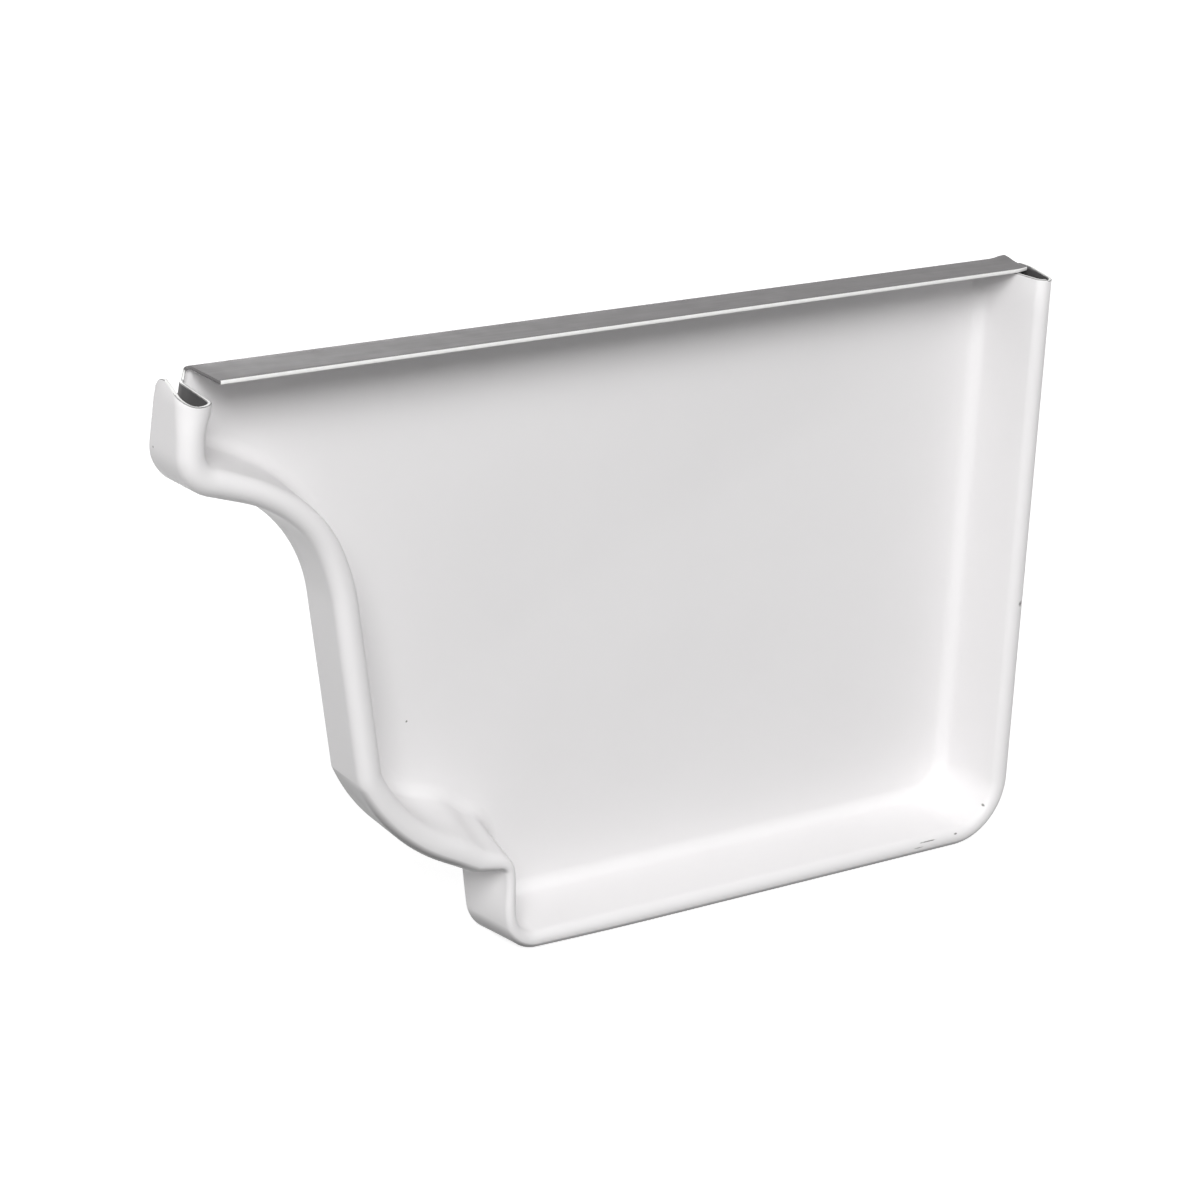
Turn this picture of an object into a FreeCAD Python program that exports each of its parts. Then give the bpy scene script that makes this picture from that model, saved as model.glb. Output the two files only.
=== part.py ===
import FreeCAD, Part
import math
import os

# Right-hand end cap for a K-style rain gutter, folded from one painted sheet.
# Origin: middle of the width, on the underside of the bottom flange, at the mouth of the channel.
# +X runs towards the wall of the house, +Y into the gutter, +Z up. Millimetres and degrees.

# Overall size
width = 137.2
height = 83.6

# Sheet and folded channel
sheet = 0.5
channel_width = 2.8
flange_depth = 8.7
pan_depth = 11.0
wall_draft = 6.0
pan_fillet = 2.0

# Wider channel at the top of the nose
nose_channel_width = 4.8
nose_fillet = 1.0

# Ogee side, from the nose down to the heel
nose_face = 7.1
nose_pan_radius = 0.4
nose_underside = 4.55
nose_slope = 16.8
cove_radius = 20.1
cove_run = 23.85
cove_slope = 80.3
crease_pan_radius = 0.5
belly_radius = 28.2
belly_start_slope = 61.5
belly_end_slope = 26.5
belly_run = 8.45
step_bend_radius = 0.9
step_slope = 81.6

# Bottom corners, measured where the flat of the pan ends
heel_pan_radius = 1.1
back_pan_radius = 3.7

# Top flange, folded forward over the pan
flange_rise = 0.9
flange_bend = 0.5
top_flange_left_depth = 8.3
top_flange_right_depth = 7.2
top_flange_left_gap = 0.1
top_flange_ear = 0.7
top_flange_right_front = 3.4
top_flange_right_rear = 0.2

# Trimmed upper ends of the channel: depths behind the crest, levels above or below the height
nose_crest_drop = 1.0
nose_lip_corner_depth = 6.65
nose_lip_corner_rise = 2.7
nose_lip_round = 2.2
nose_lip_rear_drop = 9.5
back_crest_rise = 0.1
back_lip_rise = 1.05
back_lip_ramp_end = 5.2
back_lip_round = 1.5
back_wall_rise = 0.2
overrun = 1.0

# Derived levels: front of the crest, top of the flat pan, top of the blank before it is trimmed
crest_front = -flange_depth
bend_level = height + flange_rise - sheet - flange_bend
path_top = height + nose_lip_corner_rise + overrun
lean_sin = math.sin(math.radians(wall_draft))
lean_cos = math.cos(math.radians(wall_draft))


def rim_size(channel, fillet):
    """Sizes of a section: the crest is a half round, the wall leans in, a fillet joins it to the pan."""
    crest = channel / 2
    wall_top_deep = crest - crest * lean_sin
    wall_length = (pan_depth - fillet + fillet * lean_sin - wall_top_deep) / lean_cos
    fillet_in = crest + crest * lean_cos + wall_length * lean_sin + fillet * lean_cos
    return {"crest": crest, "fillet": fillet, "fillet_in": fillet_in, "fillet_deep": pan_depth - fillet}


rim = rim_size(channel_width, pan_fillet)
nose_rim = rim_size(nose_channel_width, nose_fillet)
strip_in = nose_rim["fillet_in"] + top_flange_left_gap
ear_in = strip_in - top_flange_ear


def rim_point(deep, place, inward, angle):
    """Point of the section: deep behind the crest, inward of the outline at a place and heading."""
    turn = math.radians(angle)
    x = place[0] - inward * math.sin(turn)
    z = place[1] + inward * math.cos(turn)
    return FreeCAD.Vector(x, crest_front + deep, z)


def line(start, end):
    return Part.LineSegment(start, end).toShape()


def arc(start, middle, end):
    return Part.Arc(start, middle, end).toShape()


def section_wire(place, angle, size):
    """Closed sheet section from the rear edge of the flange, round the crest, to the flat of the pan."""
    crest_radius = size["crest"]

    def at(inward, deep):
        return rim_point(deep, place, inward, angle)

    def crest(radius):
        half = math.radians((180.0 - wall_draft) / 2)
        middle = at(crest_radius - radius * math.cos(half), crest_radius - radius * math.sin(half))
        end = at(crest_radius + radius * lean_cos, crest_radius - radius * lean_sin)
        return middle, end

    def fillet(radius):
        half = math.radians((90.0 - wall_draft) / 2 + wall_draft)
        across = size["fillet_in"]
        deep = size["fillet_deep"]
        start = at(across - radius * lean_cos, deep + radius * lean_sin)
        middle = at(across - radius * math.cos(half), deep + radius * math.sin(half))
        end = at(across, deep + radius)
        return start, middle, end

    lip_outer = at(0.0, flange_depth)
    lip_inner = at(sheet, flange_depth)
    bend_outer = at(0.0, crest_radius)
    bend_inner = at(sheet, crest_radius)
    crest_outer_middle, crest_outer_end = crest(crest_radius)
    crest_inner_middle, crest_inner_end = crest(crest_radius - sheet)
    front_start, front_middle, front_end = fillet(size["fillet"])
    rear_start, rear_middle, rear_end = fillet(size["fillet"] + sheet)
    edges = [
        line(lip_outer, bend_outer),
        arc(bend_outer, crest_outer_middle, crest_outer_end),
        line(crest_outer_end, front_start),
        arc(front_start, front_middle, front_end),
        line(front_end, rear_end),
        arc(rear_end, rear_middle, rear_start),
        line(rear_start, crest_inner_end),
        arc(crest_inner_end, crest_inner_middle, bend_inner),
        line(bend_inner, lip_inner),
        line(lip_inner, lip_outer),
    ]
    return Part.Wire(edges)


def outline_runs():
    """Outer outline as straight runs and tangent arcs, from the top of the nose round to the back."""
    heel_radius = rim["fillet_in"] + heel_pan_radius
    back_radius = rim["fillet_in"] + back_pan_radius
    runs = []
    state = {"place": (-width / 2, path_top), "angle": -90.0}

    def straight(length, size=rim, end_size=rim):
        start = state["place"]
        turn = math.radians(state["angle"])
        end = (start[0] + length * math.cos(turn), start[1] + length * math.sin(turn))
        run = {"place": start, "angle": state["angle"], "size": size, "end": end, "turn": 0.0, "end_size": end_size}
        runs.append(run)
        state["place"] = end

    def bend(radius, turn):
        """Left turns, round the pan, are positive; the cove and the step turn right."""
        start = state["place"]
        side = math.copysign(radius, turn)
        before = math.radians(state["angle"])
        after = math.radians(state["angle"] + turn)
        centre = (start[0] - side * math.sin(before), start[1] + side * math.cos(before))
        end = (centre[0] + side * math.sin(after), centre[1] - side * math.cos(after))
        run = {"place": start, "angle": state["angle"], "size": rim, "end": end, "turn": turn, "end_size": rim}
        run["centre"] = centre
        runs.append(run)
        state["place"] = end
        state["angle"] += turn

    straight(path_top - height, nose_rim, nose_rim)
    straight(nose_face, nose_rim)
    bend(rim["fillet_in"] + nose_pan_radius, 90.0 - nose_slope)
    straight(nose_underside)
    bend(cove_radius, nose_slope - cove_slope)
    straight(cove_run)
    bend(rim["fillet_in"] + crease_pan_radius, cove_slope - belly_start_slope)
    bend(belly_radius, belly_start_slope - belly_end_slope)
    straight(belly_run)
    bend(step_bend_radius, belly_end_slope - step_slope)
    heel_height = heel_radius * (1 - math.cos(math.radians(step_slope)))
    straight((state["place"][1] - heel_height) / math.sin(math.radians(step_slope)))
    bend(heel_radius, step_slope)
    straight(width / 2 - back_radius - state["place"][0])
    bend(back_radius, 90.0)
    straight(path_top - state["place"][1])
    return runs


def swept_channel(runs):
    """Section carried along each straight run and turned about the centre of each bend."""
    pieces = []
    for run in runs:
        wire = section_wire(run["place"], run["angle"], run["size"])
        if run["turn"]:
            centre = FreeCAD.Vector(run["centre"][0], 0, run["centre"][1])
            pieces.append(Part.Face(wire).revolve(centre, FreeCAD.Vector(0, -1, 0), run["turn"]))
        else:
            end_wire = section_wire(run["end"], run["angle"], run["end_size"])
            pieces.append(Part.makeLoft([wire, end_wire], True, True))
    return pieces


def pan_plate(runs):
    """Flat of the pan inside the fillet, up to the bend of the top flange."""
    edges = []
    for run in runs:
        start = rim_point(pan_depth, run["place"], run["size"]["fillet_in"], run["angle"])
        end = rim_point(pan_depth, run["end"], run["end_size"]["fillet_in"], run["angle"] + run["turn"])
        if run["turn"]:
            axis = FreeCAD.Vector(run["centre"][0], start.y, run["centre"][1])
            half = FreeCAD.Rotation(FreeCAD.Vector(0, -1, 0), run["turn"] / 2)
            edges.append(arc(start, axis + half.multVec(start - axis), end))
        else:
            edges.append(line(start, end))
    first = edges[0].Vertexes[0].Point
    last = edges[-1].Vertexes[-1].Point
    edges.append(line(last, first))
    plate = Part.Face(Part.Wire(edges)).extrude(FreeCAD.Vector(0, sheet, 0))
    above = Part.makeBox(2 * width, 2 * pan_depth, 2 * overrun + path_top - bend_level)
    above.translate(FreeCAD.Vector(-width, -pan_depth, bend_level))
    return plate.cut(above)


def top_flange():
    """Quarter bend at the top of the pan and the strip folded forward from it, with an ear at the nose."""
    pan_front = crest_front + pan_depth
    pan_rear = pan_front + sheet
    left = -width / 2 + strip_in
    ear_left = -width / 2 + ear_in
    right_rear = width / 2 - top_flange_right_rear
    right_front = width / 2 - top_flange_right_front
    bend_line = pan_front - flange_bend
    corner = [
        FreeCAD.Vector(ear_left, pan_front, bend_level),
        FreeCAD.Vector(ear_left, pan_rear, bend_level),
        FreeCAD.Vector(right_rear, pan_rear, bend_level),
        FreeCAD.Vector(right_rear, pan_front, bend_level),
    ]
    bend_face = Part.Face(Part.makePolygon(corner + corner[:1]))
    bend = bend_face.revolve(FreeCAD.Vector(0, bend_line, bend_level), FreeCAD.Vector(1, 0, 0), 90.0)
    under = bend_level + flange_bend
    plan = [
        FreeCAD.Vector(ear_left, bend_line, under),
        FreeCAD.Vector(left, bend_line - top_flange_ear, under),
        FreeCAD.Vector(left, pan_rear - top_flange_left_depth, under),
        FreeCAD.Vector(right_front, pan_rear - top_flange_right_depth, under),
        FreeCAD.Vector(right_rear, bend_line, under),
    ]
    strip = Part.Face(Part.makePolygon(plan + plan[:1])).extrude(FreeCAD.Vector(0, 0, sheet))
    return [bend, strip]


def rounded_corner(before, corner, after, radius):
    """Arc that touches both lines of a corner."""
    to_before = (before - corner).normalize()
    to_after = (after - corner).normalize()
    half = to_before.getAngle(to_after) / 2
    reach = radius / math.tan(half)
    inside = (to_before + to_after).normalize()
    middle = corner + inside * (radius / math.sin(half) - radius)
    return arc(corner + to_before * reach, middle, corner + to_after * reach)


def trim_block(x_start, x_end, profile, corner_round=0.0):
    """Waste above a trim line of depth and level pairs; the last corner of the line may be rounded."""
    ceiling = path_top + overrun
    points = [FreeCAD.Vector(x_start, crest_front + deep, height + level) for deep, level in profile]
    front = points[0]
    rear = points[-1]
    edges = [line(a, b) for a, b in zip(points, points[1:])]
    if corner_round:
        curve = rounded_corner(points[-3], points[-2], rear, corner_round)
        curve_start = curve.Vertexes[0].Point
        curve_end = curve.Vertexes[-1].Point
        edges[-2:] = [line(points[-3], curve_start), curve, line(curve_end, rear)]
    past = rear + FreeCAD.Vector(0, overrun, 0)
    roof_rear = FreeCAD.Vector(x_start, past.y, ceiling)
    roof_front = FreeCAD.Vector(x_start, front.y, ceiling)
    corners = [rear, past, roof_rear, roof_front, front]
    edges += [line(a, b) for a, b in zip(corners, corners[1:])]
    return Part.Face(Part.Wire(edges)).extrude(FreeCAD.Vector(x_end - x_start, 0, 0))


def end_trims():
    """Trim of both upper ends: the crest lies low, the lip rises behind it to a rounded rear corner."""
    nose = -width / 2
    back = width / 2
    nose_lip = [
        (-overrun, -nose_crest_drop),
        (0.0, -nose_crest_drop),
        (nose_lip_corner_depth, nose_lip_corner_rise),
        (flange_depth, -nose_lip_rear_drop),
    ]
    nose_wall = [(-overrun, -nose_crest_drop), (pan_depth + overrun, -nose_crest_drop)]
    nose_ear = [(-overrun, bend_level - height), (pan_depth + overrun, bend_level - height)]
    back_lip = [
        (-overrun, back_crest_rise),
        (0.0, back_crest_rise),
        (back_lip_ramp_end, back_lip_rise),
        (flange_depth, back_lip_rise),
        (flange_depth, back_lip_rise - 2 * back_lip_round),
    ]
    back_wall = [(-overrun, back_wall_rise), (pan_depth + overrun, back_wall_rise)]
    nose_split = nose + nose_rim["crest"]
    back_split = back - rim["crest"]
    return [
        trim_block(nose - overrun, nose_split, nose_lip, nose_lip_round),
        trim_block(nose_split, nose + ear_in, nose_wall),
        trim_block(nose + ear_in, nose + nose_rim["fillet_in"], nose_ear),
        trim_block(back_split, back + overrun, back_lip, back_lip_round),
        trim_block(back - rim["fillet_in"], back_split, back_wall),
    ]


def end_cap():
    runs = outline_runs()
    channel = swept_channel(runs)
    folded = channel[0].multiFuse(channel[1:]).removeSplitter()
    trimmed = folded.cut(end_trims())
    whole = trimmed.multiFuse([pan_plate(runs)] + top_flange()).removeSplitter()
    return whole.Solids[0]


os.makedirs("parts", exist_ok=True)
cap = end_cap()
cap.exportStep("parts/end_cap.step")
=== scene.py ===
import math

import bmesh
import bpy
from bpy.props import FloatProperty, FloatVectorProperty, PointerProperty
from bpy.types import Operator, Panel, PropertyGroup
from mathutils import Matrix, Vector


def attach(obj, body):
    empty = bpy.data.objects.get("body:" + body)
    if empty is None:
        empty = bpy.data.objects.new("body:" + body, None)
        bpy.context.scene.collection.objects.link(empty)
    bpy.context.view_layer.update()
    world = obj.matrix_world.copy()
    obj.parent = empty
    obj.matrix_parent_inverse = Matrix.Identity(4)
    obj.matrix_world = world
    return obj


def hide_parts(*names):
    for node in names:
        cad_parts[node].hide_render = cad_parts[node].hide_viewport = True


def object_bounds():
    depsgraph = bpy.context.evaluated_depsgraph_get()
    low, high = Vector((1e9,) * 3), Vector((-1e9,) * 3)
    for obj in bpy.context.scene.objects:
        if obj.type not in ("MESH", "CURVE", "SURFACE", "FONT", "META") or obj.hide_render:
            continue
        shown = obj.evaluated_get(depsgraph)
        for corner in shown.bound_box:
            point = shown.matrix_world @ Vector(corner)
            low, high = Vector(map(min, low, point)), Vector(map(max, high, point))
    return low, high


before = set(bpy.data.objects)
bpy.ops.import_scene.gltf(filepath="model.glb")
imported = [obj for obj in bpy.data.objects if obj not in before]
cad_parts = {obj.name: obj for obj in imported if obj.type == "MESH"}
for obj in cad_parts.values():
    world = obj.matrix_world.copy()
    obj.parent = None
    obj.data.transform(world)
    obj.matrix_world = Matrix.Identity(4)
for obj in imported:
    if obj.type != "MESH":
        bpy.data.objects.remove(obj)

bl_info = {
    "name": "Gutter End Cap",
    "version": (1, 0, 0),
    "blender": (4, 5, 0),
    "location": "3D View > Sidebar > End Cap",
    "description": "Folds a painted sheet into the end cap of a rain gutter and sets it on a studio floor",
    "category": "Add Mesh",
}

CAD_LOW, CAD_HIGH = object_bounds()
FRONT = Vector((0.0, -1.0, 0.0))
CAMERA_RIGHT = Vector((0.81878, -0.57209, 0.04797))
CAMERA_UP = Vector((0.15324, 0.29831, 0.94209))
LAMP_AIM = Vector((0.0, 0.0, 0.04))

# Material slots of the sheet after its enamel; the last holds a painted shade line along the rounded cut edges
BACK_COAT, CUT_EDGE, EDGE_SHADE_SLOT = 1, 2, 3

# Rubbed marks: the middle of each and its half sizes, in metres
MARKS = (
    ((-0.02887, 0.0023, 0.0320), (0.00018, 0.001, 0.00018)),
    ((0.0540, -0.0085, 0.0020), (0.0018, 0.0012, 0.00010)),
    ((0.0520, -0.0084, 0.0014), (0.0010, 0.0012, 0.00008)),
    ((0.0591, -0.0085, 0.0021), (0.00035, 0.0010, 0.00014)),
    ((0.0645, -0.0084, 0.0053), (0.00024, 0.0010, 0.00024)),
    ((0.06748, -0.0083, 0.03608), (0.0004, 0.0008, 0.0005)),
    ((-0.0686, -0.0010, 0.0823), (0.0006, 0.00016, 0.00022)),
    ((-0.0686, -0.0013, 0.0760), (0.0006, 0.00014, 0.00018)),
)


# Property helpers
def length(name, description, default):
    return FloatProperty(
        name=name, description=description, default=default, unit="LENGTH", subtype="DISTANCE", precision=5
    )


def angle(name, description, degrees):
    return FloatProperty(
        name=name, description=description, default=math.radians(degrees), unit="ROTATION", subtype="ANGLE"
    )


def amount(name, description, default):
    return FloatProperty(name=name, description=description, default=default, min=0.0, subtype="FACTOR")


def colour(name, description, default):
    return FloatVectorProperty(
        name=name, description=description, default=default, size=4, min=0.0, max=1.0, subtype="COLOR"
    )


class EndCapForm(PropertyGroup):
    """Sizes of the folded sheet."""

    width: length("Width", "Across the cap, from the nose to the back", CAD_HIGH.x - CAD_LOW.x)
    height: length("Height", "From the underside to the crest at the back", 0.0836)
    sheet: length("Sheet", "Thickness of the sheet", 0.0005)
    channel_width: length("Channel width", "Across the half-round crest of the rim", 0.0028)
    flange_depth: length("Flange depth", "From the crest to the rear edge of the lip", 0.0087)
    pan_depth: length("Pan depth", "From the crest to the flat of the pan", 0.011)
    wall_draft: angle("Wall draft", "Lean of the pan's wall", 6.0)
    pan_fillet: length("Pan fillet", "Radius between the wall and the flat of the pan", 0.002)
    nose_face: length("Nose face", "Upright run of the nose", 0.0071)
    nose_pan_radius: length("Nose radius", "Bend under the nose, at the flat of the pan", 0.0004)
    nose_underside: length("Nose underside", "Straight run under the nose", 0.00489)
    nose_slope: angle("Nose slope", "Fall of the nose's underside", 16.8)
    cove_radius: length("Cove radius", "Hollow bend under the nose", 0.02)
    cove_run: length("Cove run", "Straight run below the hollow", 0.02392)
    cove_slope: angle("Cove slope", "Fall of the straight run", 80.1)
    crease_pan_radius: length("Crease radius", "Bend at the crease, at the flat of the pan", 0.0005)
    belly_radius: length("Belly radius", "Full bend below the crease", 0.0277)
    belly_start_slope: angle("Belly start", "Fall where the belly starts", 62.4)
    belly_end_slope: angle("Belly end", "Fall where the belly ends", 26.35)
    belly_run: length("Belly run", "Straight run to the step", 0.00833)
    step_bend_radius: length("Step bend", "Inside corner above the step", 0.0009)
    step_slope: angle("Step slope", "Fall of the step", 81.1)
    heel_pan_radius: length("Heel radius", "Bend at the foot of the step, at the flat of the pan", 0.0005)
    back_pan_radius: length("Back radius", "Bend at the foot of the back, at the flat of the pan", 0.0037)
    flange_rise: length("Top flange rise", "Top of the folded flange above the crest", 0.0009)
    flange_bend: length("Top flange bend", "Inside radius of the top fold", 0.0005)
    strip_left_depth: length("Strip left depth", "Top flange from rear to front, at the nose", 0.0083)
    strip_right_depth: length("Strip right depth", "Top flange from rear to front, at the back", 0.0072)
    strip_left_gap: length("Strip left gap", "From the pan's fillet to the end of the top flange", 0.0001)
    strip_curl: length("Strip curl", "Lift of the top flange's rear corner at the back", 0.0003)
    strip_right_front: length("Strip right front", "Front corner of the top flange, in from the back", 0.0012)
    strip_setback: length("Strip setback", "Turn of the top flange's front edge at the back", 0.0006)
    strip_right_rear: length("Strip right rear", "Rear corner of the top flange, in from the back", 0.0002)
    nose_channel_width: length("Nose channel width", "Across the crest at the top of the nose", 0.0048)
    nose_bend_channel: length("Nose bend channel", "Across the crest at the bend under the nose", 0.0038)
    ogee_channel: length("Ogee channel", "Across the crest along the ogee", 0.00325)
    belly_channel: length("Belly channel", "Across the crest where the belly meets the step", 0.0036)
    belly_lean: angle("Belly lean", "Lean of the pan's wall where the belly meets the step", 14.0)
    step_channel: length("Step channel", "Across the crest down the step", 0.0016)
    nose_fillet: length("Nose fillet", "Radius between the wall and the pan inside the nose", 0.001)
    nose_crest_drop: length("Nose crest drop", "Dip of the trimmed crest at the nose", 0.001)
    nose_lip_rise: length("Nose lip rise", "Top of the lip at the nose", 0.00146)
    nose_lip_peak: length("Nose lip peak", "Highest point of the nose's lip behind the crest", 0.005)
    nose_lip_round: length("Nose lip round", "Rounding of the lip's top at the nose", 0.0022)
    nose_lip_top_depth: length("Nose lip depth", "Depth of the lip at the top of the nose", 0.0072)
    nose_lip_taper: length("Nose lip taper", "Height over which the lip reaches its full depth", 0.0092)
    back_lip_rise: length("Back lip rise", "Top of the lip at the back", 0.0008)
    back_lip_ramp: length("Back lip ramp", "Depth over which the lip at the back rises", 0.0052)
    back_lip_round: length("Back lip round", "Rounding of the lip's rear corner at the back", 0.0015)
    back_wall_rise: length("Back wall rise", "Top of the pan's wall at the back", 0.0002)
    flange_flare: length("Flange flare", "Spread of the lip's rear edge along the ogee", 0.00024)
    crest_push: length("Crest push", "Spread of the crest beyond the lip along the ogee", 0.00065)
    step_pull: length("Step pull", "Lean of the crest down the step", 0.0004)
    heel_lift: length("Heel lift", "Rise of the bottom flange towards the heel", 0.00045)
    edge_round: length("Edge rounding", "Softening of the cut edges", 0.0001)


class EndCapFinish(PropertyGroup):
    """Colours and surface of the painted sheet, and the colour of the painted shade line at its cut edges."""

    enamel: colour("Enamel", "Paint on the outside", (0.80, 0.789, 0.793, 1.0))
    back_coat: colour("Back coat", "Thin paint on the inside", (0.190, 0.184, 0.186, 1.0))
    cut_edge: colour("Cut edge", "Sheared edge of the sheet", (0.86, 0.86, 0.85, 1.0))
    # Painted shade: colour of a dark line painted along the rounded cut edges, in place of the shade at their
    # rims.
    edge_shade: colour("Arris", "Thin line where the paint breaks at a sheared edge", (0.18, 0.18, 0.18, 1.0))
    scuff: colour("Scuff", "Rubbed dark marks", (0.22, 0.215, 0.21, 1.0))


class EndCapStage(PropertyGroup):
    """Camera, light and floor."""

    camera_place: FloatVectorProperty(
        name="Camera place", description="Where the camera stands", default=(-0.26926, -0.37141, 0.20632),
        size=3, unit="LENGTH", subtype="XYZ", precision=5,
    )
    camera_lens: FloatProperty(
        name="Lens", description="Focal length in millimetres on a 36 millimetre sensor", default=109.18
    )
    key_light: amount("Key light", "Power of the soft box above the camera, in watts", 15.5)
    top_light: amount("Top light", "Power of the soft box overhead, in watts", 2.4)
    nose_light: amount("Nose light", "Power of the soft box at the nose side, in watts", 4.2)
    house_light: amount("House light", "Power of the soft box at the house side, in watts", 1.0)
    rear_light: amount("Rear light", "Power of the soft box behind the cap, in watts", 8.0)
    side_light: amount("Side light", "Power of the soft box beyond the house side, in watts", 5.0)
    sky: amount("Sky", "Even light from all round", 0.02)
    floor_glow: amount("Floor glow", "White that the floor shows about the object, whatever falls on it", 0.85)
    floor_colour: colour("Floor", "Colour in which the floor shows a shadow", (0.50, 0.50, 0.50, 1.0))
    floor_bounce: colour("Floor bounce", "Colour thrown back on the object", (0.33, 0.33, 0.33, 1.0))


# Mesh helpers
def is_kind(items, kind):
    return [item for item in items if isinstance(item, kind)]


def walk(bm, tip, vector, steps):
    """Draw a straight line of short edges from a vertex."""
    made = []
    for _ in range(steps):
        tip = bmesh.ops.extrude_vert_indiv(bm, verts=[tip])["verts"][0]
        bmesh.ops.translate(bm, verts=[tip], vec=vector / steps)
        made.append(tip)
    return made


def swing(bm, tip, centre, axis, turn, steps):
    """Draw an arc of short edges from a vertex."""
    made = []
    for _ in range(steps):
        spun = bmesh.ops.spin(
            bm, geom=[tip], cent=centre, axis=axis, angle=turn / steps, steps=1, use_merge=False
        )
        tip = spun["geom_last"][0]
        made.append(tip)
    return made


def chain_verts(chain):
    return list(dict.fromkeys(vert for edge in chain for vert in edge.verts))


def eased(value, start, end):
    """Share of the way from start to end, slow at both."""
    share = min(max((value - start) / (end - start), 0.0), 1.0)
    return share * share * (3.0 - 2.0 * share)


class Section:
    """Lengths of the rim's section that follow from the sizes."""

    def __init__(self, form, channel, fillet, lean):
        self.lean = lean
        self.crest = channel / 2
        self.fillet = fillet
        self.front = -form.flange_depth
        self.wall_top = Vector(
            (self.crest * (1 + math.cos(lean)), self.crest * (1 - math.sin(lean)), 0.0)
        )
        deep = form.pan_depth - fillet * (1 - math.sin(lean)) - self.wall_top.y
        self.wall = Vector((deep * math.tan(lean), deep, 0.0))
        self.fillet_in = self.wall_top.x + self.wall.x + fillet * math.cos(lean)
        self.fillet_deep = form.pan_depth - fillet
        self.flat = form.pan_depth + self.front
        self.flange_depth = form.flange_depth

    def carry(self, other, inward, deep):
        """Where a point of this section lies on another section."""
        if inward >= self.fillet_in:
            return inward - self.fillet_in + other.fillet_in, deep
        if deep > self.wall_top.y + self.wall.y and inward > self.crest:
            left = math.pi / 2 - math.atan2(deep - self.fillet_deep, self.fillet_in - inward)
            left *= (math.pi / 2 - other.lean) / (math.pi / 2 - self.lean)
            return (
                other.fillet_in - other.fillet * math.sin(left),
                other.fillet_deep + other.fillet * math.cos(left),
            )
        if deep > self.wall_top.y and inward > self.crest:
            share = (deep - self.wall_top.y) / self.wall.y
            return other.wall_top.x + other.wall.x * share, other.wall_top.y + other.wall.y * share
        if deep <= self.crest:
            turned = math.atan2(self.crest - deep, self.crest - inward)
            turned *= (math.pi - other.lean) / (math.pi - self.lean)
            return other.crest * (1 - math.cos(turned)), other.crest * (1 - math.sin(turned))
        share = (deep - self.crest) / (self.flange_depth - self.crest)
        return inward, other.crest + (other.flange_depth - other.crest) * share


class RimSweep:
    """Carries the section along the outline and marks each vertex with its place on the sheet."""

    def __init__(self, bm, chain, place, heading):
        self.bm = bm
        self.chain = chain
        self.place = Vector(place)
        self.heading = heading
        self.along = 0.0
        self.inward = bm.verts.layers.float["inward"]
        self.deep = bm.verts.layers.float["deep"]
        self.run = bm.verts.layers.float["along"]
        self.face = bm.verts.layers.float["heading"]
        self.stops = {}
        self.mark()

    def mark(self):
        for vert in chain_verts(self.chain):
            vert[self.run] = self.along
            vert[self.face] = self.heading

    def out(self, vert):
        """Direction that leads out of the cap at a vertex of the rim."""
        return Vector((math.sin(vert[self.face]), 0.0, -math.cos(vert[self.face])))

    def straight(self, distance, steps):
        step = Vector((math.cos(self.heading), 0.0, math.sin(self.heading))) * distance / steps
        for _ in range(steps):
            grown = bmesh.ops.extrude_edge_only(self.bm, edges=self.chain)["geom"]
            bmesh.ops.translate(self.bm, verts=is_kind(grown, bmesh.types.BMVert), vec=step)
            self.chain = is_kind(grown, bmesh.types.BMEdge)
            self.place += step
            self.along += step.length
            self.mark()

    def bend(self, radius, turn, steps):
        """Turn left with a positive angle; the cove and the step turn right."""
        side = math.copysign(radius, turn)
        centre = self.place + side * Vector((-math.sin(self.heading), 0.0, math.cos(self.heading)))
        for _ in range(steps):
            geom = chain_verts(self.chain) + self.chain
            spun = bmesh.ops.spin(
                self.bm, geom=geom, cent=centre, axis=FRONT, angle=turn / steps, steps=1, use_merge=False
            )
            self.chain = is_kind(spun["geom_last"], bmesh.types.BMEdge)
            self.heading += turn / steps
            self.place = centre - side * Vector((-math.sin(self.heading), 0.0, math.cos(self.heading)))
            self.along += abs(turn) * radius / steps
            self.mark()


def draw_section(bm, form, section):
    """Section of the outer face at the top of the nose: lip, crest, wall, fillet and the start of the flat."""
    left = -form.width / 2
    level = form.height
    verts = [bm.verts.new((left, 0.0, level))]
    verts += walk(bm, verts[-1], Vector((0.0, section.front + section.crest, 0.0)), 16)
    crest_centre = (left + section.crest, section.front + section.crest, level)
    verts += swing(bm, verts[-1], crest_centre, (0, 0, 1), math.pi - form.wall_draft, 14)
    verts += walk(bm, verts[-1], section.wall, 6)
    fillet_centre = (left + section.fillet_in, section.flat - form.pan_fillet, level)
    verts += swing(bm, verts[-1], fillet_centre, (0, 0, -1), math.pi / 2 - form.wall_draft, 8)
    verts += walk(bm, verts[-1], Vector((form.nose_pan_radius / 8, 0.0, 0.0)), 1)
    inward = bm.verts.layers.float["inward"]
    deep = bm.verts.layers.float["deep"]
    for vert in verts:
        vert[inward] = vert.co.x - left
        vert[deep] = vert.co.y - section.front
    return verts


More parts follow.
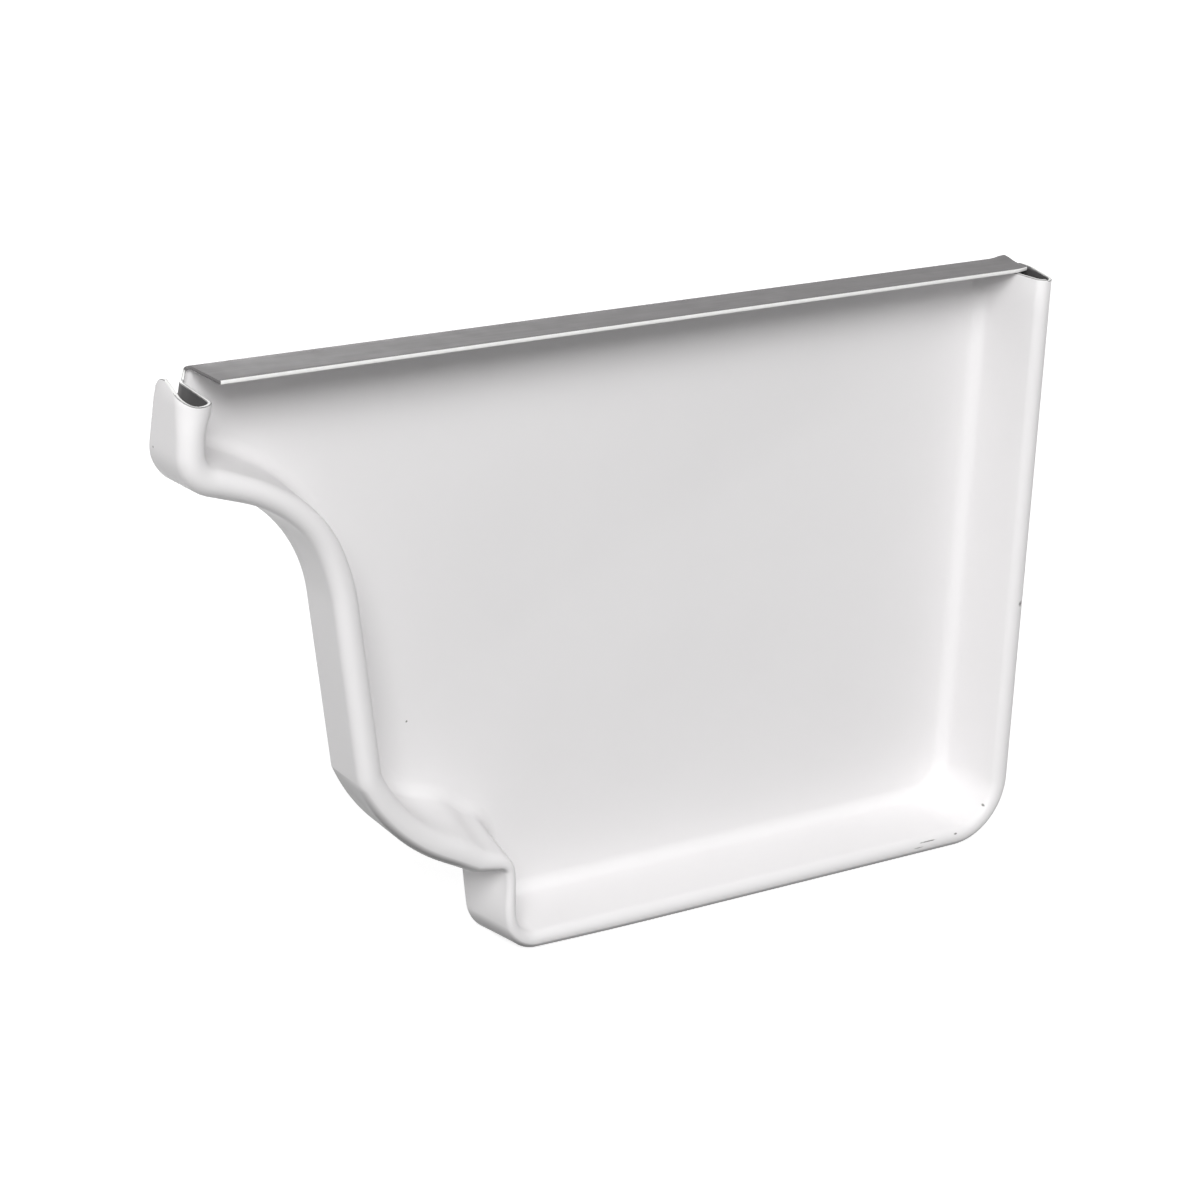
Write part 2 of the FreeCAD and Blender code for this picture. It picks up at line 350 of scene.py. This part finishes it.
def sweep_rim(bm, form, section):
    """Sweep the section from the nose, down the ogee, along the bottom and up the back."""
    verts = draw_section(bm, form, section)
    rim = RimSweep(bm, list(bm.edges), (-form.width / 2, 0.0, form.height), -math.pi / 2)
    heel = section.fillet_in + form.heel_pan_radius
    back = section.fillet_in + form.back_pan_radius
    rim.straight(form.nose_face, 6)
    rim.bend(section.fillet_in + form.nose_pan_radius, math.pi / 2 - form.nose_slope, 16)
    rim.stops["nose_end"] = rim.along
    rim.straight(form.nose_underside, 3)
    rim.stops["cove_start"] = rim.along
    rim.bend(form.cove_radius, form.nose_slope - form.cove_slope, 18)
    rim.straight(form.cove_run, 8)
    rim.stops["crease_start"] = rim.along
    rim.bend(section.fillet_in + form.crease_pan_radius, form.cove_slope - form.belly_start_slope, 10)
    rim.stops["crease_end"] = rim.along
    rim.bend(form.belly_radius, form.belly_start_slope - form.belly_end_slope, 16)
    rim.straight(form.belly_run, 6)
    rim.stops["step_start"] = rim.along
    rim.bend(form.step_bend_radius, form.belly_end_slope - form.step_slope, 10)
    rim.stops["step_end"] = rim.along
    drop = rim.place.z - heel * (1 - math.cos(form.step_slope))
    rim.straight(drop / math.sin(form.step_slope), 6)
    rim.stops["heel_start"] = rim.along
    rim.bend(heel, form.step_slope, 18)
    rim.stops["heel_end"] = rim.along
    rim.straight(form.width / 2 - back - rim.place.x, 12)
    rim.bend(back, math.pi / 2, 20)
    rim.straight(form.height - rim.place.z, 14)
    return verts, chain_verts(rim.chain), rim


def between(value, stops):
    """Amount at a place, eased between pairs of place and amount."""
    for (start, low), (end, high) in zip(stops, stops[1:]):
        if value <= end:
            return low + (high - low) * eased(value, start, end)
    return stops[-1][1]


def widen_rim(bm, form, section, rim):
    """Open the channel towards the top of the nose and along the ogee, and pinch it down the step."""
    channels = (
        (form.nose_face / 5, form.nose_channel_width),
        (form.nose_face * 0.7, form.nose_bend_channel),
        (rim.stops["nose_end"], form.nose_bend_channel),
        (rim.stops["cove_start"] + form.nose_underside, form.ogee_channel),
        (rim.stops["crease_end"], form.ogee_channel),
        (rim.stops["step_start"] - form.belly_run * 0.7, form.belly_channel),
        (rim.stops["step_start"], form.channel_width),
        (rim.stops["step_end"], form.step_channel),
        (rim.stops["heel_start"], form.step_channel),
        (rim.stops["heel_end"], form.channel_width),
    )
    fillets = (
        (rim.stops["nose_end"], form.nose_fillet),
        (rim.stops["cove_start"], form.pan_fillet),
    )
    leans = (
        (rim.stops["step_start"] - form.belly_run * 2, form.wall_draft),
        (rim.stops["step_start"] - form.belly_run * 0.5, form.belly_lean),
        (rim.stops["step_end"], form.belly_lean),
        (rim.stops["heel_start"], form.wall_draft),
    )
    for vert in bm.verts:
        along = vert[rim.run]
        if along >= rim.stops["heel_end"]:
            continue
        wide = Section(form, between(along, channels), between(along, fillets), between(along, leans))
        inward, deep = section.carry(wide, vert[rim.inward], vert[rim.deep])
        if along > rim.stops["step_start"]:
            rear = max(deep - wide.crest, 0.0) / (form.flange_depth - wide.crest)
            pinch = form.channel_width - wide.crest * 2
            inward += pinch * (1 - rear) if inward <= wide.crest else pinch
        vert.co -= rim.out(vert) * (inward - vert[rim.inward])
        vert.co.y = section.front + deep
        vert[rim.inward] = inward
        vert[rim.deep] = deep


def rounded_end(deep, peak, radius):
    return math.sqrt(max(radius ** 2 - max(deep - peak, 0.0) ** 2, 0.0)) - radius


def nose_level(form, deep):
    """Height of the lip's sheared end at the nose: a ramp behind the crest, then a rounded top."""
    share = min(deep / form.nose_lip_peak, 1.0)
    ramp = form.nose_lip_rise - (form.nose_lip_rise + form.nose_crest_drop) * (1 - share) ** 1.3
    return ramp + rounded_end(deep, form.nose_lip_peak, form.nose_lip_round)


def back_level(form, deep):
    """Height of the lip's sheared end at the back."""
    ramp = form.back_lip_rise * min(deep / form.back_lip_ramp, 1.0)
    return ramp + rounded_end(deep, form.flange_depth - form.back_lip_round, form.back_lip_round)


def trim_ends(bm, form, section, nose_end, back_end, ear):
    """Shear both upper ends of the rim and taper the lip towards the top of the nose."""
    inward = bm.verts.layers.float["inward"]
    deep = bm.verts.layers.float["deep"]
    for vert in bm.verts:
        below = form.height - vert.co.z
        on_nose = vert.co.x < -form.width / 2 + section.crest
        if on_nose and vert[inward] < section.crest and below < form.nose_lip_taper:
            lost = (form.flange_depth - form.nose_lip_top_depth) * (1 - below / form.nose_lip_taper)
            vert[deep] -= lost * max(vert[deep] - section.crest, 0.0) / (form.flange_depth - section.crest)
            vert.co.y = section.front + vert[deep]
    bend_level = form.height + form.flange_rise - form.sheet - form.flange_bend
    for vert in nose_end:
        if vert[inward] < form.nose_channel_width / 2:
            vert.co.z = form.height + nose_level(form, vert[deep])
        elif vert[inward] < ear:
            vert.co.z = form.height - form.nose_crest_drop
        else:
            vert.co.z = bend_level
    for vert in back_end:
        if vert[inward] < section.crest:
            vert.co.z = form.height + back_level(form, vert[deep])
        elif vert[inward] <= section.fillet_in:
            vert.co.z = form.height + form.back_wall_rise
        else:
            vert.co.z = bend_level


def sharpen_crease(bm, form, section, rim):
    """Gather the bend below the cove into a fold that is sharp at the lip and fades at the crest."""
    start = rim.stops["crease_start"]
    end = rim.stops["crease_end"]
    turn = form.cove_slope - form.belly_start_slope
    radius = section.fillet_in + form.crease_pan_radius
    at_lip = 0.9
    for vert in bm.verts:
        if not start < vert[rim.run] < end or vert[rim.inward] >= section.crest:
            continue
        sharp = at_lip * eased(vert[rim.deep], section.crest, form.flange_depth)
        turned = vert[rim.face] + form.cove_slope
        from_end = turn / 2 - abs(turned - turn / 2)
        bulge = (radius - vert[rim.inward]) * (1 / math.cos(from_end) - 1)
        vert.co += rim.out(vert) * bulge * sharp


def fold_sheet(form):
    """The whole outer face of the sheet, before it gets its thickness."""
    section = Section(form, form.channel_width, form.pan_fillet, form.wall_draft)
    nose = Section(form, form.nose_channel_width, form.nose_fillet, form.wall_draft)
    bm = bmesh.new()
    for name in ("inward", "deep", "along", "heading"):
        bm.verts.layers.float.new(name)
    nose_end, back_end, rim = sweep_rim(bm, form, section)
    flat_nose = max(nose_end, key=lambda vert: vert[rim.inward])
    flat_back = max(back_end, key=lambda vert: vert[rim.inward])
    ring = [
        edge for edge in bm.edges
        if all(abs(vert[rim.inward] - flat_nose[rim.inward]) < 1e-7 for vert in edge.verts)
    ]
    widen_rim(bm, form, section, rim)
    ear = nose.fillet_in - form.nose_fillet / 2
    trim_ends(bm, form, section, nose_end, back_end, ear)
    sharpen_crease(bm, form, section, rim)
    left = -form.width / 2 + nose.fillet_in + form.strip_left_gap
    right = form.width / 2 - form.strip_right_rear
    corner = walk(bm, flat_nose, Vector((left - flat_nose.co.x, 0.0, 0.0)), 1)[-1]
    top = list(corner.link_edges)
    span = bmesh.ops.contextual_create(bm, geom=[corner, flat_back])["edges"]
    bmesh.ops.contextual_create(bm, geom=ring + top + span)
    tab = [
        edge for vert in nose_end for edge in vert.link_edges
        if all(end in nose_end and end[rim.inward] >= ear for end in edge.verts)
    ]
    reach = walk(bm, flat_back, Vector((right - flat_back.co.x, 0.0, 0.0)), 6)
    beyond = [edge for vert in reach[::2] for edge in vert.link_edges]
    cut = bmesh.ops.subdivide_edges(bm, edges=span, cuts=30)["geom_split"]
    strip = tab + top + is_kind(cut, bmesh.types.BMEdge) + beyond
    fold_strip(bm, form, section, list(dict.fromkeys(strip)), left, right)
    settle_rim(bm, form, section, rim)
    bmesh.ops.recalc_face_normals(bm, faces=bm.faces)
    widest = max(bm.faces, key=lambda face: face.calc_area())
    if widest.normal.y > 0:
        bmesh.ops.reverse_faces(bm, faces=bm.faces)
    return bm


def fold_strip(bm, form, section, strip, left, right):
    """Fold the top flange forward over the pan, tapered and mitred at the back."""
    bend_steps = 5
    steps = 8
    mitre_from = 0.975
    curl_long = 0.0028
    curl_deep = 0.003
    axis_y = section.flat - form.flange_bend
    centre = (0.0, axis_y, form.height + form.flange_rise - form.sheet - form.flange_bend)
    for _ in range(bend_steps):
        geom = chain_verts(strip) + strip
        spun = bmesh.ops.spin(
            bm, geom=geom, cent=centre, axis=(1, 0, 0), angle=math.pi / 2 / bend_steps, steps=1, use_merge=False
        )
        strip = is_kind(spun["geom_last"], bmesh.types.BMEdge)
    strip = [edge for edge in strip if all(vert.co.x > left - 1e-6 for vert in edge.verts)]
    reach = section.flat + form.sheet - axis_y
    for step in range(steps):
        grown = bmesh.ops.extrude_edge_only(bm, edges=strip)["geom"]
        strip = is_kind(grown, bmesh.types.BMEdge)
        for vert in is_kind(grown, bmesh.types.BMVert):
            over = (vert.co.x - left) / (right - left)
            depth = form.strip_left_depth + (form.strip_right_depth - form.strip_left_depth) * over - reach
            vert.co.y = axis_y - depth * (step + 1) / steps
            turn = eased(over, mitre_from, 1.0)
            vert.co.y += form.strip_setback * turn * (step + 1) / steps
            vert.co.x -= (form.strip_right_front - form.strip_right_rear) * turn / steps
    top = form.height + form.flange_rise - form.sheet - 1e-6
    for vert in bm.verts:
        if vert.co.z > top and vert.co.x > 0:
            corner = eased(vert.co.x, right - curl_long, right)
            corner *= eased(vert.co.y, axis_y - curl_deep, axis_y)
            vert.co.z += form.strip_curl * corner


def settle_rim(bm, form, section, rim):
    """Small give of the pressed sheet: the lip flares, the crest leans and rises at the heel."""
    heel_from = -0.025
    heel_to = 0.003
    heel_fade = 0.016
    heel_high = 0.008
    start = rim.stops["cove_start"]
    pushes = (
        (start + form.cove_radius * 0.5, 0.0),
        (start + form.cove_radius, form.crest_push),
        (rim.stops["step_start"] - form.belly_run * 0.4, form.crest_push),
        (rim.stops["step_end"], -form.step_pull),
        (rim.stops["heel_start"], form.step_pull),
        (rim.stops["heel_end"], form.step_pull * 0.5),
        (rim.stops["heel_end"] + form.cove_radius * 0.5, 0.0),
    )
    for vert in bm.verts:
        along = vert[rim.run]
        inward = vert[rim.inward]
        rear = max(vert[rim.deep] - section.crest, 0.0) / (form.flange_depth - section.crest)
        if inward <= form.nose_channel_width / 2:
            reach = eased(along, form.nose_face, start)
            reach *= 1 - eased(along, rim.stops["heel_start"], rim.stops["heel_end"])
            vert.co += rim.out(vert) * form.flange_flare * rear * reach
        if inward >= section.fillet_in:
            continue
        held = (inward - section.crest) / (section.fillet_in - section.crest)
        held = rear if inward <= section.crest else held
        vert.co += rim.out(vert) * between(along, pushes) * (1 - held)
        if heel_from < vert.co.x < heel_to and vert.co.z < heel_high:
            near = min((heel_to - vert.co.x) / heel_fade, 1.0)
            high = 1 - max(vert.co.z, 0.0) / heel_high
            vert.co.z += form.heel_lift * near ** 2 * high * (1 - held)


def finish_strip(mesh, form):
    """The top flange keeps a white front edge, and the back coat on its sheared end at the nose."""
    nose = Section(form, form.nose_channel_width, form.nose_fillet, form.wall_draft)
    ear = -form.width / 2 + nose.fillet_in / 2
    end = -form.width / 2 + nose.fillet_in + form.strip_left_gap + form.edge_round * 2
    under = form.height + form.flange_rise - form.sheet * 1.1
    front = form.pan_depth - form.flange_depth + form.sheet - form.strip_right_depth + form.sheet
    for face in mesh.polygons:
        if face.center.z < under or face.material_index < CUT_EDGE:
            continue
        if ear < face.center.x < end:
            face.material_index = BACK_COAT
        elif face.center.y < front and face.center.x < form.width / 2 - form.strip_right_front:
            face.material_index = CUT_EDGE


# Finishes
def new_finish(name):
    material = bpy.data.materials.new(name)
    material.use_nodes = True
    tree = material.node_tree
    return material, tree, tree.nodes["Principled BSDF"]


def add(tree, kind, **settings):
    node = tree.nodes.new(kind)
    for key, value in settings.items():
        setattr(node, key, value)
    return node


def noise(tree, coords, scale, detail, roughness=0.5):
    node = add(tree, "ShaderNodeTexNoise")
    node.inputs["Scale"].default_value = scale
    node.inputs["Detail"].default_value = detail
    node.inputs["Roughness"].default_value = roughness
    tree.links.new(coords, node.inputs["Vector"])
    return node.outputs["Fac"]


def ranged(tree, value, low, high, to_low, to_high):
    node = add(tree, "ShaderNodeMapRange")
    tree.links.new(value, node.inputs["Value"])
    for key, number in zip(("From Min", "From Max", "To Min", "To Max"), (low, high, to_low, to_high)):
        node.inputs[key].default_value = number
    return node.outputs["Result"]


def joined(tree, operation, first, second):
    """Join two values in one step of arithmetic."""
    node = add(tree, "ShaderNodeMath", operation=operation)
    tree.links.new(first, node.inputs[0])
    tree.links.new(second, node.inputs[1])
    return node.outputs[0]


def parts_of(tree, vector):
    node = add(tree, "ShaderNodeSeparateXYZ")
    tree.links.new(vector, node.inputs["Vector"])
    return node.outputs


def blended(tree, factor, first, second):
    """Mix two colours; each is a socket or a plain colour."""
    node = add(tree, "ShaderNodeMix", data_type="RGBA")
    tree.links.new(factor, node.inputs["Factor"])
    for key, value in (("A", first), ("B", second)):
        socket = next(s for s in node.inputs if s.name == key and s.type == "RGBA")
        if isinstance(value, bpy.types.NodeSocket):
            tree.links.new(value, socket)
        else:
            socket.default_value = value
    return next(s for s in node.outputs if s.type == "RGBA")


def mark(tree, coords, ragged, centre, size):
    """Mask of one rubbed mark: an ellipsoid about a point, with a ragged rim."""
    offset = add(tree, "ShaderNodeVectorMath", operation="SUBTRACT")
    tree.links.new(coords, offset.inputs[0])
    offset.inputs[1].default_value = centre
    scaled = add(tree, "ShaderNodeVectorMath", operation="DIVIDE")
    tree.links.new(offset.outputs[0], scaled.inputs[0])
    scaled.inputs[1].default_value = size
    far = add(tree, "ShaderNodeVectorMath", operation="LENGTH")
    tree.links.new(scaled.outputs[0], far.inputs[0])
    return ranged(tree, joined(tree, "ADD", far.outputs["Value"], ragged), 1.0, 1.5, 1.0, 0.0)


def shade(tint, factor):
    return (tint[0] * factor, tint[1] * factor, tint[2] * factor, 1.0)


def enamel_finish(finish):
    material, tree, paint = new_finish("white_enamel")
    coords = add(tree, "ShaderNodeTexCoord").outputs["Object"]
    cloud = ranged(tree, noise(tree, coords, 38.0, 3.0), 0.35, 0.65, 0.0, 1.0)
    tone = blended(tree, cloud, finish.enamel, shade(finish.enamel, 0.985))
    ragged = noise(tree, coords, 1600.0, 3.0)
    for centre, size in MARKS:
        tone = blended(tree, mark(tree, coords, ragged, centre, size), tone, finish.scuff)
    facing = parts_of(tree, add(tree, "ShaderNodeNewGeometry").outputs["Normal"])["Z"]
    height = parts_of(tree, coords)["Z"]
    # Painted shade: faces that point steeply down are darkened to 0.55 of the enamel.
    under = ranged(tree, facing, -0.86, -0.98, 0.0, 1.0)
    tone = blended(tree, under, tone, shade(finish.enamel, 0.55))
    # Painted shade: faces that lean downward below the crease are darkened to 0.3 of the enamel, less at the
    # step's height, as the shade near the floor.
    below_crease = ranged(tree, height, 0.029, 0.034, 1.0, 0.0)
    painted_low_shade = joined(tree, "MULTIPLY", ranged(tree, facing, -0.3, -0.64, 0.0, 1.0), below_crease)
    above_step = ranged(tree, height, 0.0125, 0.0155, 0.3, 1.0)
    below_step = ranged(tree, height, 0.006, 0.009, 1.0, 0.3)
    painted_low_shade = joined(tree, "MULTIPLY", painted_low_shade, joined(tree, "MAXIMUM", above_step, below_step))
    tone = blended(tree, painted_low_shade, tone, shade(finish.enamel, 0.3))
    tree.links.new(tone, paint.inputs["Base Color"])
    gloss = ranged(tree, noise(tree, coords, 260.0, 2.0), 0.3, 0.7, 0.34, 0.42)
    tree.links.new(gloss, paint.inputs["Roughness"])
    paint.inputs["Specular IOR Level"].default_value = 0.2
    peel = add(tree, "ShaderNodeBump")
    peel.inputs["Strength"].default_value = 0.05
    peel.inputs["Distance"].default_value = 0.0001
    tree.links.new(noise(tree, coords, 900.0, 2.0), peel.inputs["Height"])
    tree.links.new(peel.outputs["Normal"], paint.inputs["Normal"])
    return material


def back_coat_finish(finish):
    material, tree, paint = new_finish("gray_back_coat")
    coords = add(tree, "ShaderNodeTexCoord").outputs["Object"]
    grain = add(tree, "ShaderNodeMapping")
    grain.inputs["Scale"].default_value = (1.0, 14.0, 14.0)
    tree.links.new(coords, grain.inputs["Vector"])
    rolled = ranged(tree, noise(tree, grain.outputs["Vector"], 110.0, 4.0), 0.3, 0.7, 0.0, 1.0)
    tone = blended(tree, rolled, shade(finish.back_coat, 0.93), shade(finish.back_coat, 1.07))
    place = parts_of(tree, coords)
    # Painted shade: inside the channel, below the top flange, the back coat is darkened to 0.4 of its colour.
    in_channel = ranged(tree, place["Y"], 0.0005, 0.002, 1.0, 0.0)
    below_strip = ranged(tree, place["Z"], 0.0839, 0.0842, 1.0, 0.0)
    tone = blended(tree, joined(tree, "MULTIPLY", in_channel, below_strip), tone, shade(finish.back_coat, 0.4))
    tree.links.new(tone, paint.inputs["Base Color"])
    gloss = ranged(tree, noise(tree, coords, 320.0, 2.0), 0.3, 0.7, 0.48, 0.58)
    tree.links.new(gloss, paint.inputs["Roughness"])
    paint.inputs["Specular IOR Level"].default_value = 0.12
    return material


def cut_edge_finish(finish):
    material, tree, paint = new_finish("cut_edge")
    coords = add(tree, "ShaderNodeTexCoord").outputs["Object"]
    drag = ranged(tree, noise(tree, coords, 1400.0, 3.0), 0.3, 0.7, 0.0, 1.0)
    tone = blended(tree, drag, shade(finish.cut_edge, 0.94), finish.cut_edge)
    tree.links.new(tone, paint.inputs["Base Color"])
    paint.inputs["Roughness"].default_value = 0.45
    return material


# Painted shade: a dark, broken line for the rounded cut edges.
def edge_shade_finish(finish):
    material, tree, paint = new_finish("painted_edge_shade")
    coords = add(tree, "ShaderNodeTexCoord").outputs["Object"]
    broken = ranged(tree, noise(tree, coords, 700.0, 3.0), 0.35, 0.65, 0.0, 1.0)
    tone = blended(tree, broken, finish.edge_shade, shade(finish.edge_shade, 2.2))
    tree.links.new(tone, paint.inputs["Base Color"])
    paint.inputs["Roughness"].default_value = 0.6
    paint.inputs["Specular IOR Level"].default_value = 0.1
    return material


def seen_rays(tree):
    """Rays that see the backdrop: straight from the camera, or by way of a gloss or glass."""
    rays = add(tree, "ShaderNodeLightPath").outputs
    straight = joined(tree, "MAXIMUM", rays["Is Camera Ray"], rays["Is Glossy Ray"])
    return joined(tree, "MAXIMUM", straight, rays["Is Transmission Ray"])


def floor_finish(stage):
    material, tree, paint = new_finish("studio_floor")
    tree.nodes.remove(paint)
    seen = seen_rays(tree)
    cloth = add(tree, "ShaderNodeBsdfDiffuse")
    tree.links.new(blended(tree, seen, stage.floor_bounce, stage.floor_colour), cloth.inputs["Color"])
    glow = add(tree, "ShaderNodeEmission")
    far = add(tree, "ShaderNodeVectorMath", operation="LENGTH")
    tree.links.new(add(tree, "ShaderNodeTexCoord").outputs["Object"], far.inputs[0])
    white = ranged(tree, far.outputs["Value"], 0.3, 1.2, stage.floor_glow, 1.0)
    tree.links.new(joined(tree, "MULTIPLY", seen, white), glow.inputs["Strength"])
    both = add(tree, "ShaderNodeAddShader")
    tree.links.new(cloth.outputs["BSDF"], both.inputs[0])
    tree.links.new(glow.outputs["Emission"], both.inputs[1])
    tree.links.new(both.outputs["Shader"], tree.nodes["Material Output"].inputs["Surface"])
    return material


def shown(name, mesh):
    piece = bpy.data.objects.new(name, mesh)
    bpy.context.scene.collection.objects.link(piece)
    return piece


class OBJECT_OT_end_cap_sheet(Operator):
    """Fold the sheet, give it its thickness and its finishes, and set it in place of the solid"""

    bl_idname = "object.end_cap_sheet"
    bl_label = "Folded Sheet"

    def execute(self, context):
        form = context.scene.end_cap_form
        finish = context.scene.end_cap_finish
        mesh = bpy.data.meshes.new("folded_sheet")
        bm = fold_sheet(form)
        bm.to_mesh(mesh)
        bm.free()
        for make in (enamel_finish, back_coat_finish, cut_edge_finish, edge_shade_finish):
            mesh.materials.append(make(finish))
        piece = shown("folded_sheet", mesh)
        gauge = piece.modifiers.new("gauge", "SOLIDIFY")
        gauge.thickness = form.sheet
        gauge.offset = -1.0
        gauge.use_even_offset = True
        gauge.material_offset = BACK_COAT
        gauge.material_offset_rim = CUT_EDGE
        soft = piece.modifiers.new("soft_edges", "BEVEL")
        soft.width = form.edge_round
        soft.segments = 2
        # The bevel faces get the painted shade line, dark along every rounded cut edge.
        soft.material = EDGE_SHADE_SLOT
        soft.use_clamp_overlap = False
        soft.limit_method = "ANGLE"
        soft.angle_limit = math.radians(60)
        made = bpy.data.meshes.new_from_object(piece.evaluated_get(context.evaluated_depsgraph_get()))
        piece.modifiers.clear()
        piece.data = made
        for vert in made.vertices:
            vert.co = [min(max(value, low), high) for value, low, high in zip(vert.co, CAD_LOW, CAD_HIGH)]
        finish_strip(made, form)
        made.shade_smooth()
        made.set_sharp_from_angle(angle=math.radians(38))
        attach(piece, "root")
        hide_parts("end_cap")
        return {"FINISHED"}


class OBJECT_OT_end_cap_stage(Operator):
    """Set the floor, the soft lights and the camera"""

    bl_idname = "object.end_cap_stage"
    bl_label = "Studio Stage"

    def execute(self, context):
        stage = context.scene.end_cap_stage
        bm = bmesh.new()
        bmesh.ops.create_grid(bm, x_segments=1, y_segments=1, size=6.0)
        mesh = bpy.data.meshes.new("studio_floor")
        bm.to_mesh(mesh)
        bm.free()
        mesh.materials.append(floor_finish(stage))
        floor = shown("studio_floor", mesh)
        boxes = (
            ("key_box", (-0.57, -0.82, 0.84), 0.6, stage.key_light),
            ("top_box", (0.0, -0.8, 1.05), 0.8, stage.top_light),
            ("nose_box", (-1.3, 0.0, 0.4), 0.8, stage.nose_light),
            ("house_box", (0.9, -0.9, 0.5), 0.8, stage.house_light),
            ("rear_box", (0.3, 1.25, 0.3), 0.8, stage.rear_light),
            ("side_box", (1.35, 0.3, 0.35), 0.8, stage.side_light),
        )
        for name, place, size, power in boxes:
            lamp = bpy.data.lights.new(name, "AREA")
            lamp.shape = "SQUARE"
            lamp.size = size
            lamp.energy = power
            box = shown(name, lamp)
            box.location = place
            box.rotation_euler = (LAMP_AIM - Vector(place)).to_track_quat("-Z", "Y").to_euler()
        self.set_sky(context, stage)
        self.set_camera(context, stage)
        context.scene.view_settings.view_transform = "Standard"
        return {"FINISHED"}

    def set_sky(self, context, stage):
        world = bpy.data.worlds.new("studio_sky")
        context.scene.world = world
        world.use_nodes = True
        tree = world.node_tree
        back = tree.nodes["Background"]
        tree.links.new(ranged(tree, seen_rays(tree), 0.0, 1.0, stage.sky, 1.0), back.inputs["Strength"])
        back.inputs["Color"].default_value = (1.0, 1.0, 1.0, 1.0)

    def set_camera(self, context, stage):
        lens = bpy.data.cameras.new("photo_camera")
        lens.sensor_width = 36.0
        lens.lens = stage.camera_lens
        lens.clip_start = 0.01
        camera = shown("photo_camera", lens)
        axes = Matrix((CAMERA_RIGHT, CAMERA_UP, CAMERA_RIGHT.cross(CAMERA_UP))).transposed()
        camera.matrix_world = Matrix.Translation(Vector(stage.camera_place)) @ axes.to_4x4()
        context.scene.camera = camera


class VIEW3D_PT_end_cap(Panel):
    """Sizes, finishes and stage of the end cap"""

    bl_label = "Gutter End Cap"
    bl_idname = "VIEW3D_PT_end_cap"
    bl_space_type = "VIEW_3D"
    bl_region_type = "UI"
    bl_category = "End Cap"

    def draw(self, context):
        layout = self.layout
        scene = context.scene
        for group, operator in (
            (scene.end_cap_form, "object.end_cap_sheet"),
            (scene.end_cap_finish, None),
            (scene.end_cap_stage, "object.end_cap_stage"),
        ):
            column = layout.column()
            for name in group.__annotations__:
                column.prop(group, name)
            if operator:
                column.operator(operator)


CLASSES = (
    EndCapForm,
    EndCapFinish,
    EndCapStage,
    OBJECT_OT_end_cap_sheet,
    OBJECT_OT_end_cap_stage,
    VIEW3D_PT_end_cap,
)


def register():
    for item in CLASSES:
        bpy.utils.register_class(item)
    bpy.types.Scene.end_cap_form = PointerProperty(type=EndCapForm)
    bpy.types.Scene.end_cap_finish = PointerProperty(type=EndCapFinish)
    bpy.types.Scene.end_cap_stage = PointerProperty(type=EndCapStage)


def unregister():
    del bpy.types.Scene.end_cap_stage
    del bpy.types.Scene.end_cap_finish
    del bpy.types.Scene.end_cap_form
    for item in reversed(CLASSES):
        bpy.utils.unregister_class(item)


def main():
    register()
    bpy.ops.object.end_cap_sheet()
    bpy.ops.object.end_cap_stage()


if __name__ == "__main__":
    main()
